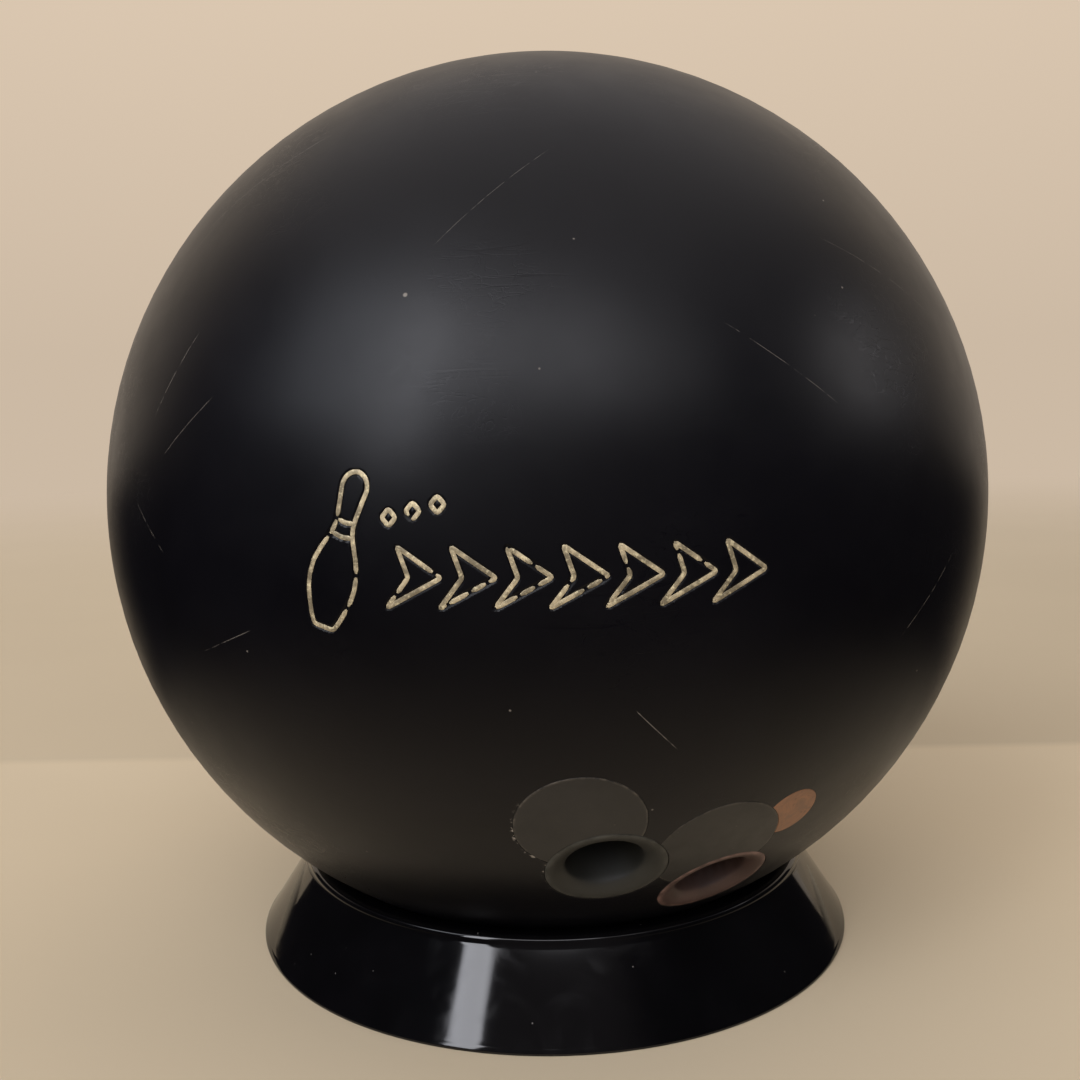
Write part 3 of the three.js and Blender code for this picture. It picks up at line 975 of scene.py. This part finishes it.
def ring_material():
    """Glossy black moulding: a very slight orange-peel, dust specks and fine rub marks."""
    looks = bpy.context.scene.finishes
    made, shader, place = material("ring stand gloss")
    film = shader.noise(place, 55, 4, 0.6)
    dust = combined(shader, [
        shader.math("MULTIPLY", specks(shader, place, 420, 0.085, 0.10), 0.35),
        shader.math("MULTIPLY", specks(shader, place, 150, 0.045, 0.10), 0.55),
    ])
    base = shader.mix(shader.fit(film, 0.4, 0.75), looks.ring, tinted(looks.ring, 1.8))
    base = shader.mix(dust, base, (0.32, 0.30, 0.27))
    gloss = looks.ring_roughness
    smear = shader.fit(shader.noise(place, 90, 4, 0.65, 1.0), 0.5, 0.75, gloss, gloss + 0.07)
    rough = shader.math("ADD", smear, shader.math("MULTIPLY", dust, 0.5), clamp=True)
    normal = shader.bump(shader.noise(place, 130, 2, 0.5), 0.02 * MM, 0.25)
    finish(shader, base_color=base, roughness=rough, normal=normal, ior=1.5)
    return made


# ---- The pieces, one operator for each -------------------------------------------------------


def drill_for(ball, lines, name, diameter, depth):
    """The drill of one hole as vertices and faces, a seam wider than what fills the hole."""
    sizes = bpy.context.scene.ball_sizes
    profile = drill_profile(diameter / 2 + sizes.seam, depth + sizes.seam, sizes.edge)
    vertices, faces = closed_grid(turned(ball, lines[name], profile))
    return vertices, facing_out(vertices - ball.centre, faces)


def grip_drills(ball, lines):
    """The drills of the two finger holes and the thumb hole."""
    grip = bpy.context.scene.grip_sizes
    return [
        drill_for(ball, lines, "finger_left", grip.finger_hole, grip.finger_depth),
        drill_for(ball, lines, "finger_right", grip.finger_hole, grip.finger_depth),
        drill_for(ball, lines, "thumb", grip.slug, grip.slug_length),
    ]


def old_drills(ball, lines):
    """The drills of the first grip's three holes."""
    filled = bpy.context.scene.filled_sizes
    return [
        drill_for(ball, lines, "old_left", filled.left, filled.finger_depth),
        drill_for(ball, lines, "old_right", filled.right, filled.finger_depth),
        drill_for(ball, lines, "old_thumb", filled.thumb, filled.thumb_depth),
    ]


def filler_mesh(ball, name, line, diameter, depth, drills):
    """A filler turned about its hole's axis, less all that was drilled after it."""
    profile = plug_profile(diameter / 2, depth, bpy.context.scene.ball_sizes.edge)
    vertices, faces = closed_grid(turned(ball, line, profile))
    blank = mesh_of(name, [(vertices, facing_out(vertices - ball.centre, faces))])
    mesh = drilled(name, blank, drills)
    shade(mesh, ball)
    return mesh


class BALL_OT_cover(bpy.types.Operator):
    """Make the ball's outer shell, engraved and drilled"""

    bl_idname = "bowling.cover"
    bl_label = "Cover"

    def execute(self, context):
        ball = Ball()
        lines = holes(ball)
        filled = context.scene.filled_sizes
        drills = [
            drill_for(ball, lines, "pin", filled.pin, filled.pin_length),
            *old_drills(ball, lines),
            *grip_drills(ball, lines),
        ]
        mesh = drilled("cover", mesh_of("cover", cover_parts(ball)), drills)
        shade(mesh, ball)
        made = piece("cover", mesh, "ball", "coverstock")
        dress(made, cover_material(ball, lines))
        return {"FINISHED"}


class BALL_OT_inlay(bpy.types.Operator):
    """Fill the engraved mark with worn gold paint"""

    bl_idname = "bowling.inlay"
    bl_label = "Inlaid mark"

    def execute(self, context):
        mesh = mesh_of("mark_inlay", inlay_parts(Ball()))
        shade(mesh, angle=50)
        dress(piece("mark_inlay", mesh, "ball"), inlay_material())
        return {"FINISHED"}


class BALL_OT_plugs(bpy.types.Operator):
    """Make the fillers of the first grip's holes and the locating pin"""

    bl_idname = "bowling.plugs"
    bl_label = "Plugs and locating pin"

    def execute(self, context):
        ball = Ball()
        lines = holes(ball)
        filled = context.scene.filled_sizes
        grip = grip_drills(ball, lines)
        finger_deep, thumb_deep = filled.finger_depth, filled.thumb_depth
        for name, node, hole, diameter, depth, tone, edge in (
            ("finger_plug_left", "old_finger_plug_left", "old_left", filled.left, finger_deep, 1.25, 0.75),
            ("finger_plug_right", "old_finger_plug_right", "old_right", filled.right, finger_deep, 1.1, 0.45),
            ("thumb_plug", "old_thumb_plug", "old_thumb", filled.thumb, thumb_deep, 1.0, 0.5),
        ):
            mesh = filler_mesh(ball, name, lines[hole], diameter, depth, grip)
            made = piece(name, mesh, "ball", node)
            dress(made, plug_material(name + " filler", lines[hole], diameter / 2, tone, edge))
        drills = [*old_drills(ball, lines), *grip]
        mesh = filler_mesh(ball, "locating_pin", lines["pin"], filled.pin, filled.pin_length, drills)
        dress(piece("locating_pin", mesh, "ball", "core_pin"), pin_material())
        return {"FINISHED"}


class BALL_OT_inserts(bpy.types.Operator):
    """Make the two finger inserts, the right one ribbed"""

    bl_idname = "bowling.inserts"
    bl_label = "Finger inserts"

    def execute(self, context):
        ball = Ball()
        lines = holes(ball)
        sizes, grip, _, _, looks, _ = settings()
        outer = grip.finger_hole / 2 - sizes.seam
        bore, dish, deep = grip.insert_bore / 2, grip.insert_dish / 2, grip.dish_depth
        edge = 2.5 * sizes.edge
        ease = np.linspace(0, 1, 7)[1:]
        profile = [
            (outer, grip.insert_length, 0),
            (outer, edge, 1),
            (outer - edge * 0.3, edge * 0.3, 1),
            (outer - edge, 0, 1),
            (dish + 0.15 * MM, 0, 1),
            *[(dish + (bore - dish) * s, deep * (0.35 * s + 0.65 * s * s), 1) for s in ease[:-1]],
            (bore + 0.15 * MM, deep * 0.98, 1),
            (bore, deep + 0.35 * MM, 1),
            *[(bore, deep + d * MM, 1 - d / 14) for d in (1.2, 2.5, 4, 7, 12)],
            (bore, grip.insert_length - 2 * MM, 0),
            (bore, grip.insert_length, 0),
        ]

        def ribs(angle, depth):
            """Ribs along the bore's wall, which rise below the mouth, and none on the outside."""
            inside = np.zeros_like(depth)
            inside[-7:] = np.array([0, 0.5, 1, 1, 1, 1, 1])[:, None]
            crest = 0.5 + 0.5 * np.cos(grip.ribs * angle)
            return -grip.rib_height * inside * crest**2

        grey, brown = tuple(looks.grey_insert), tuple(looks.brown_insert)
        for name, node, hole, tone, swell, slot, worn in (
            ("insert_grey", "finger_insert_left", "finger_left", grey, None, "grey_insert", 0.55),
            ("insert_brown", "finger_insert_right", "finger_right", brown, ribs, "brown_insert", 0.9),
        ):
            points = turned(ball, lines[hole], profile, columns=220, swell=swell)
            vertices, faces = closed_grid(points, poles=False)
            mesh = mesh_of(name, [(vertices, facing_out(vertices - vertices.mean(0), faces))])
            shade(mesh, angle=55)
            made = piece(name, mesh, "ball", node)
            dress(made, insert_material(name + " vinyl", tone, lines[hole], worn))
        return {"FINISHED"}


class BALL_OT_thumb(bpy.types.Operator):
    """Make the thumb slug with its bored and bevelled hole"""

    bl_idname = "bowling.thumb"
    bl_label = "Thumb slug"

    def execute(self, context):
        ball = Ball()
        lines = holes(ball)
        sizes, grip, _, _, looks, _ = settings()
        outer, bore, bevel = grip.slug / 2 - sizes.seam, grip.thumb_hole / 2, grip.thumb_bevel
        round_in = [
            (bore + bevel * (1 - math.sin(a)), bevel * (1 - math.cos(a)), 1)
            for a in np.linspace(0, math.pi / 2, 8)
        ]
        profile = [
            (0, grip.slug_length, 0),
            (outer, grip.slug_length, 0),
            (outer, sizes.edge, 1),
            (outer - sizes.edge, 0, 1),
            *round_in,
            *[(bore, bevel + d * MM, 1 - d / 20) for d in (2, 5, 10)],
            (bore, grip.thumb_depth - 0.6 * MM, 0),
            (bore - 0.6 * MM, grip.thumb_depth, 0),
            (0, grip.thumb_depth, 0),
        ]
        vertices, faces = closed_grid(turned(ball, lines["thumb"], profile, columns=144))
        mesh = mesh_of("thumb_slug_bored", [(vertices, facing_out(vertices - ball.centre, faces))])
        shade(mesh, angle=40)
        made = piece("thumb_slug_bored", mesh, "ball", "thumb_slug")
        dress(made, resin_material("thumb slug urethane", tuple(looks.slug), 140, 0.3, 0.32, 0.45))
        return {"FINISHED"}


class BALL_OT_core(bpy.types.Operator):
    """Give the cast pieces inside the ball their finishes"""

    bl_idname = "bowling.core"
    bl_label = "Core pieces"

    def execute(self, context):
        looks = context.scene.finishes
        for node, tone, scale, contrast, low, high in (
            ("outer_core", looks.filler, 70, 0.18, 0.62, 0.78),
            ("weight_block", looks.weight, 45, 0.25, 0.45, 0.6),
            ("flip_block", looks.flip, 60, 0.25, 0.4, 0.55),
        ):
            finished = resin_material(node + " cast", tuple(tone), scale, contrast, low, high)
            dress(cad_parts[node], finished)
        return {"FINISHED"}


class BALL_OT_ring(bpy.types.Operator):
    """Make the glossy ring that the ball rests in"""

    bl_idname = "bowling.ring"
    bl_label = "Ring stand"

    def execute(self, context):
        ring = context.scene.ring_sizes
        ball = Ball()
        base, rim, round_by = ring.base / 2, ring.rim / 2, ring.rounding
        angle = math.asin(ring.seat / 2 / ball.radius)
        slope = np.array([math.cos(angle), math.sin(angle)])
        away = np.array([math.sin(angle), -math.cos(angle)])
        seat = np.array([ring.seat / 2, ring.height - ring.seat_drop]) + away * ring.seat_gap
        outer, inner = seat + slope * ring.seat_width / 2, seat - slope * ring.seat_width / 2
        top = ring.height - round_by
        corner = [
            (rim - round_by + round_by * math.cos(a), top + round_by * math.sin(a))
            for a in np.linspace(0, math.pi / 2, 10)
        ]
        lip = 0.25 * MM
        foot = base - ring.foot
        wall_foot = np.array([base - ring.lip_step, ring.lip_height])
        wall = np.array([rim, top]) - wall_foot
        profile = np.array([
            (foot + 0.2 * MM, 0),
            (base - 0.3 * MM, 0),
            (base - 0.08 * MM, 0.08 * MM),
            (base, 0.3 * MM),
            (base, ring.lip_height - ring.lip_step - lip),
            (base - 0.07 * MM, ring.lip_height - ring.lip_step),
            (base - ring.lip_step + 0.1 * MM, ring.lip_height - 0.12 * MM),
            (base - ring.lip_step, ring.lip_height + 0.05 * MM),
            *[tuple(wall_foot + wall * s) for s in (0.05, 0.25, 0.5, 0.75, 0.95)],
            *corner,
            tuple(outer + slope * 0.1 * MM),
            tuple(outer - slope * 0.2 * MM),
            tuple(inner + slope * 0.2 * MM),
            tuple(inner),
            (inner[0], inner[1] - ring.skirt),
            *[
                (inner[0] + (foot - inner[0]) * s, (inner[1] - ring.skirt) * (1 - s))
                for s in (0.05, 0.5, 0.97)
            ],
        ])
        around = np.linspace(0, 2 * np.pi, 288, endpoint=False)[None, :]
        radius, height = profile[:, :1], profile[:, 1:]
        points = np.stack(
            [radius * np.cos(around), radius * np.sin(around), height + 0 * around], axis=-1
        )
        vertices, faces = closed_grid(points, poles=False)
        mesh = mesh_of("ring", [(vertices, facing_out(vertices, faces))])
        shade(mesh, angle=34)
        dress(piece("ring", mesh, "stand", "ring_stand"), ring_material())
        return {"FINISHED"}


def window(shader, azimuth, elevation, west, east, low, high, soft):
    """A soft-edged patch of the sky between two azimuths and two elevations, in degrees."""
    wide, tall = soft
    masks = (
        shader.fit(azimuth, math.radians(west - wide), math.radians(west + wide), smooth=True),
        shader.fit(azimuth, math.radians(east + wide), math.radians(east - wide), smooth=True),
        shader.fit(elevation, math.radians(low - tall), math.radians(low + tall), smooth=True),
        shader.fit(elevation, math.radians(high + tall), math.radians(high - tall), smooth=True),
    )
    return shader.product(*masks)


# Soft light round the ball: azimuths and elevations in degrees, edge softness, radiance, colour.
WINDOWS = (
    ((-68, -43, 15, 48), (9, 5), 2.9, (0.94, 0.98, 1.08)),
    ((-42, -29, 14, 52), (2, 5), 7.0, (0.98, 0.99, 1.06)),
    ((-29, 22, 17, 49), (4, 5), 3.0, (0.98, 0.98, 1.04)),
    ((22, 42, 16, 42), (4, 5), 1.5, (1.00, 0.98, 1.00)),
    ((76, 100, 14, 31), (4, 3), 2.0, (1.02, 0.98, 0.98)),
)


# Colours of the soft light from in front, from behind, from straight above and from below.
IN_FRONT = (0.050, 0.048, 0.062)
BEHIND = (0.62, 0.52, 0.42)
ABOVE = (0.71, 0.67, 0.67)
BELOW = (0.2, 0.17, 0.13)

# How far behind the ball's middle the floor gets its painted shade: it is painted a little darker there,
# standing for the dimmer backdrop.
FLOOR_SHADE_STEP = (0.131, 0.139)

# The dark card's top edge: azimuths in degrees and heights in metres, and the notch in it.
CARD_AZIMUTHS = (-122, -85, -45, -38, -24, -20, 30, 40, 85, 118)
CARD_HEIGHTS = (0.10, 0.19, 0.215, 0.222, 0.222, 0.245, 0.24, 0.22, 0.18, 0.10)
CARD_RADII = (0.13, 0.16, 0.19, 0.22, 0.26, 0.30)
CARD_RADIUS = 0.33
NOTCH_MIDDLE = -31
NOTCH_HALF_WIDTH = 6.5
NOTCH_EASE = 1.5
NOTCH_DEPTH = 0.10

# The card's glow, a painted reflection: at its sides, in its middle, and where it starts, as bright as the
# lit floor.
CARD_SIDES = (0.012, 0.011, 0.013)
CARD_MIDDLE = (0.07, 0.06, 0.06)
CARD_PAINTED_FLOOR = (0.46, 0.375, 0.27)

# The camera's place and the way it faces, and its roll in degrees.
CAMERA_PLACE = (0, -0.29567, 0.13097)
CAMERA_AHEAD = (-0.00654, 0.99423, -0.10708)
CAMERA_ROLL = -1.11


class BALL_OT_stage(bpy.types.Operator):
    """Make the pale floor, the soft light and the camera"""

    bl_idname = "bowling.stage"
    bl_label = "Stage"

    def execute(self, context):
        stage = context.scene.stage_settings
        self.floor(stage)
        self.dark_card()
        self.light(stage)
        self.camera(stage)
        context.scene.view_settings.view_transform = "Standard"
        return {"FINISHED"}

    def floor(self, stage):
        """A wide disc, painted a little darker behind the ball as painted shade, whose colour passes into the
        backdrop's far from the ball.
        """
        radii = np.array([0, 0.2, 0.5, 1, 2, 4, 8, 16.0])[:, None]
        columns = 96
        around = np.linspace(0, 2 * np.pi, columns, endpoint=False)[None, :]
        points = np.stack([radii * np.cos(around), radii * np.sin(around), 0 * radii * around], axis=-1)
        rings = grid_faces(len(radii) - 1, columns, start=1)[:, ::-1]
        first = np.arange(columns) + 1
        fan = np.stack([np.zeros_like(first), first, np.roll(first, -1)], axis=-1)
        vertices = np.vstack([points[0, :1], points[1:].reshape(-1, 3)])
        made = placed("floor", mesh_of("floor", [(vertices, [fan, rings])]))
        finished, shader, place = material("floor paper")
        spread = shader.noise(place, 6, 3, 0.5)
        fine = shader.noise(place, 900, 2, 0.6)
        dark, light = tinted(stage.floor, 0.985), tinted(stage.floor, 1.015)
        base = shader.mix(shader.fit(spread, 0.3, 0.7), dark, light)
        x, y, _ = shader.add("ShaderNodeSeparateXYZ", {0: place}, out=None).outputs
        # Painted shade: behind the ball the floor is mixed towards black, more so towards +X.
        behind = shader.math("ADD", 0.13, shader.fit(x, -0.1, 0.5, 0, 0.10))
        behind = shader.math("MULTIPLY", behind, shader.fit(y, *FLOOR_SHADE_STEP))
        base = shader.mix(behind, base, (0, 0, 0))
        normal = shader.bump(fine, 0.05 * MM, 0.15)
        paper = shader.add("ShaderNodeBsdfPrincipled", {
            "Base Color": base, "Roughness": 0.85, "Normal": normal, "Specular IOR Level": 0.15,
        })
        glow = shader.add("ShaderNodeEmission", {"Color": four(stage.backdrop), "Strength": 1.0})
        away = shader.vector("LENGTH", place, out=1)
        far = shader.fit(away, 0.5, 2.2, smooth=True)
        mixed = shader.add("ShaderNodeMixShader", {0: far, 1: paper, 2: glow})
        shader.add("ShaderNodeOutputMaterial", {"Surface": mixed}, out=None)
        dress(made, finished)

    def dark_card(self):
        """A dark curved card in front, glowing dimly and seen only in reflections: a painted reflection that
        keeps the gloss black.

        It lies on the floor round the ring, where it starts glowing as bright as the lit floor, a
        painted reflection of the floor, and stands up in part of a cylinder about the ball. Its top
        is lower towards its ends, and it has a notch through which the brightest window reaches the ring.
        """
        degrees = np.linspace(CARD_AZIMUTHS[0], CARD_AZIMUTHS[-1], 241)
        around = np.radians(degrees)
        in_notch = np.clip((NOTCH_HALF_WIDTH - np.abs(degrees - NOTCH_MIDDLE)) / NOTCH_EASE, 0, 1)
        top = np.interp(degrees, CARD_AZIMUTHS, CARD_HEIGHTS) - in_notch * NOTCH_DEPTH
        rises = np.linspace(0, 1, 9)
        out = np.array([*CARD_RADII, *[CARD_RADIUS] * len(rises)])[:, None]
        share_up = np.append(np.zeros(len(CARD_RADII)), rises)[:, None]
        over_floor = 0.6 * MM
        points = np.stack(
            [out * np.sin(around), -out * np.cos(around), over_floor + top * share_up], axis=-1
        )
        faces = grid_faces(*points.shape[:2], wrap_columns=False)
        card = placed("dark_card", mesh_of("dark_card", [(points.reshape(-1, 3), [faces])]))
        card.visible_camera = card.visible_diffuse = card.visible_shadow = False
        finished, shader, place = material("dark card")
        x, y, _ = shader.add("ShaderNodeSeparateXYZ", {0: place}, out=None).outputs
        middle = shader.fit(shader.math("ABSOLUTE", x), 0.20, 0.10, smooth=True)
        tone = shader.mix(middle, CARD_SIDES, CARD_MIDDLE)
        away = shader.math("SQRT", shader.math("ADD", shader.product(x, x), shader.product(y, y)))
        tone = shader.mix(shader.fit(away, 0.14, 0.26), CARD_PAINTED_FLOOR, tone)
        # Painted reflection: the card glows dark at its sides, a little brighter in its middle, and as bright
        # as the lit floor where it starts.
        glow = shader.add("ShaderNodeEmission", {"Color": tone, "Strength": 1.0})
        shader.add("ShaderNodeOutputMaterial", {"Surface": glow}, out=None)
        dress(card, finished)

    def light(self, stage):
        """Soft light by direction: pale behind, dim in front, with soft windows."""
        world = bpy.data.worlds.new("soft studio")
        bpy.context.scene.world = world
        world.use_nodes = True
        shader = Shader(world.node_tree)
        way = shader.add("ShaderNodeTexCoord", out=0)
        x, y, z = shader.add("ShaderNodeSeparateXYZ", {0: way}, out=None).outputs
        azimuth = shader.math("ARCTAN2", x, shader.math("MULTIPLY", y, -1.0))
        elevation = shader.math("ARCSINE", z)
        back = shader.math("ADD", y, shader.math("MULTIPLY", z, 0.25))
        behind = shader.fit(back, 0.22, 0.75, smooth=True)
        above = shader.fit(z, 0.5, 0.95, smooth=True)
        below = shader.fit(z, 0.0, -0.1)
        tone = shader.mix(behind, IN_FRONT, BEHIND)
        tone = shader.mix(above, tone, ABOVE)
        tone = shader.mix(below, tone, BELOW)
        for place, soft, radiance, tint in WINDOWS:
            patch = window(shader, azimuth, elevation, *place, soft)
            lit = shader.vector("SCALE", tuple(t * radiance for t in tint))
            shader.tree.links.new(patch, lit.node.inputs["Scale"])
            tone = shader.vector("ADD", tone, lit)
        light = shader.add("ShaderNodeBackground", {"Color": tone, "Strength": stage.strength})
        # The backdrop that the camera sees is a glow with painted light: it is brighter towards the top.
        rise = shader.fit(z, 0.06, 0.34)
        glow = shader.mix(rise, stage.backdrop, tinted(stage.backdrop, 1.17))
        seen = shader.add("ShaderNodeBackground", {"Color": glow, "Strength": 1.0})
        camera = shader.add("ShaderNodeLightPath", out=0)
        both = shader.add("ShaderNodeMixShader", {0: camera, 1: light, 2: seen})
        shader.add("ShaderNodeOutputWorld", {"Surface": both}, out=None)

    def camera(self, stage):
        """A camera in front, a little above the ball's middle and slightly turned."""
        data = bpy.data.cameras.new("camera")
        data.lens, data.sensor_width = stage.lens, 36
        data.clip_start, data.clip_end = 0.01, 50
        made = placed("camera", data)
        made.rotation_mode = "QUATERNION"
        made.location = CAMERA_PLACE
        ahead = Vector(CAMERA_AHEAD).to_track_quat("-Z", "Y")
        made.rotation_quaternion = ahead @ Quaternion((0, 0, 1), math.radians(CAMERA_ROLL))
        bpy.context.scene.camera = made


OPERATORS = (
    BALL_OT_cover,
    BALL_OT_inlay,
    BALL_OT_plugs,
    BALL_OT_inserts,
    BALL_OT_thumb,
    BALL_OT_core,
    BALL_OT_ring,
    BALL_OT_stage,
)


class BALL_PT_panel(bpy.types.Panel):
    """Lists the pieces' operators and sizes in the 3D view's sidebar"""

    bl_idname = "BALL_PT_panel"
    bl_label = "Bowling ball"
    bl_space_type = "VIEW_3D"
    bl_region_type = "UI"
    bl_category = "Bowling ball"

    def draw(self, context):
        for operator in OPERATORS:
            self.layout.operator(operator.bl_idname)
        for name, group in SETTINGS.items():
            box = self.layout.box()
            for key in group.__annotations__:
                box.prop(getattr(context.scene, name), key)


CLASSES = (*SETTINGS.values(), *OPERATORS, BALL_PT_panel)


def register():
    """Adds the classes and gives the scene one property group of each kind."""
    for one in CLASSES:
        bpy.utils.register_class(one)
    for name, group in SETTINGS.items():
        setattr(bpy.types.Scene, name, bpy.props.PointerProperty(type=group))


def unregister():
    """Takes the property groups and the classes away again."""
    for name in SETTINGS:
        delattr(bpy.types.Scene, name)
    for one in reversed(CLASSES):
        bpy.utils.unregister_class(one)


def main():
    """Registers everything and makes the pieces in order."""
    register()
    for operator in OPERATORS:
        group, name = operator.bl_idname.split(".")
        getattr(getattr(bpy.ops, group), name)()


if __name__ == "__main__":
    main()
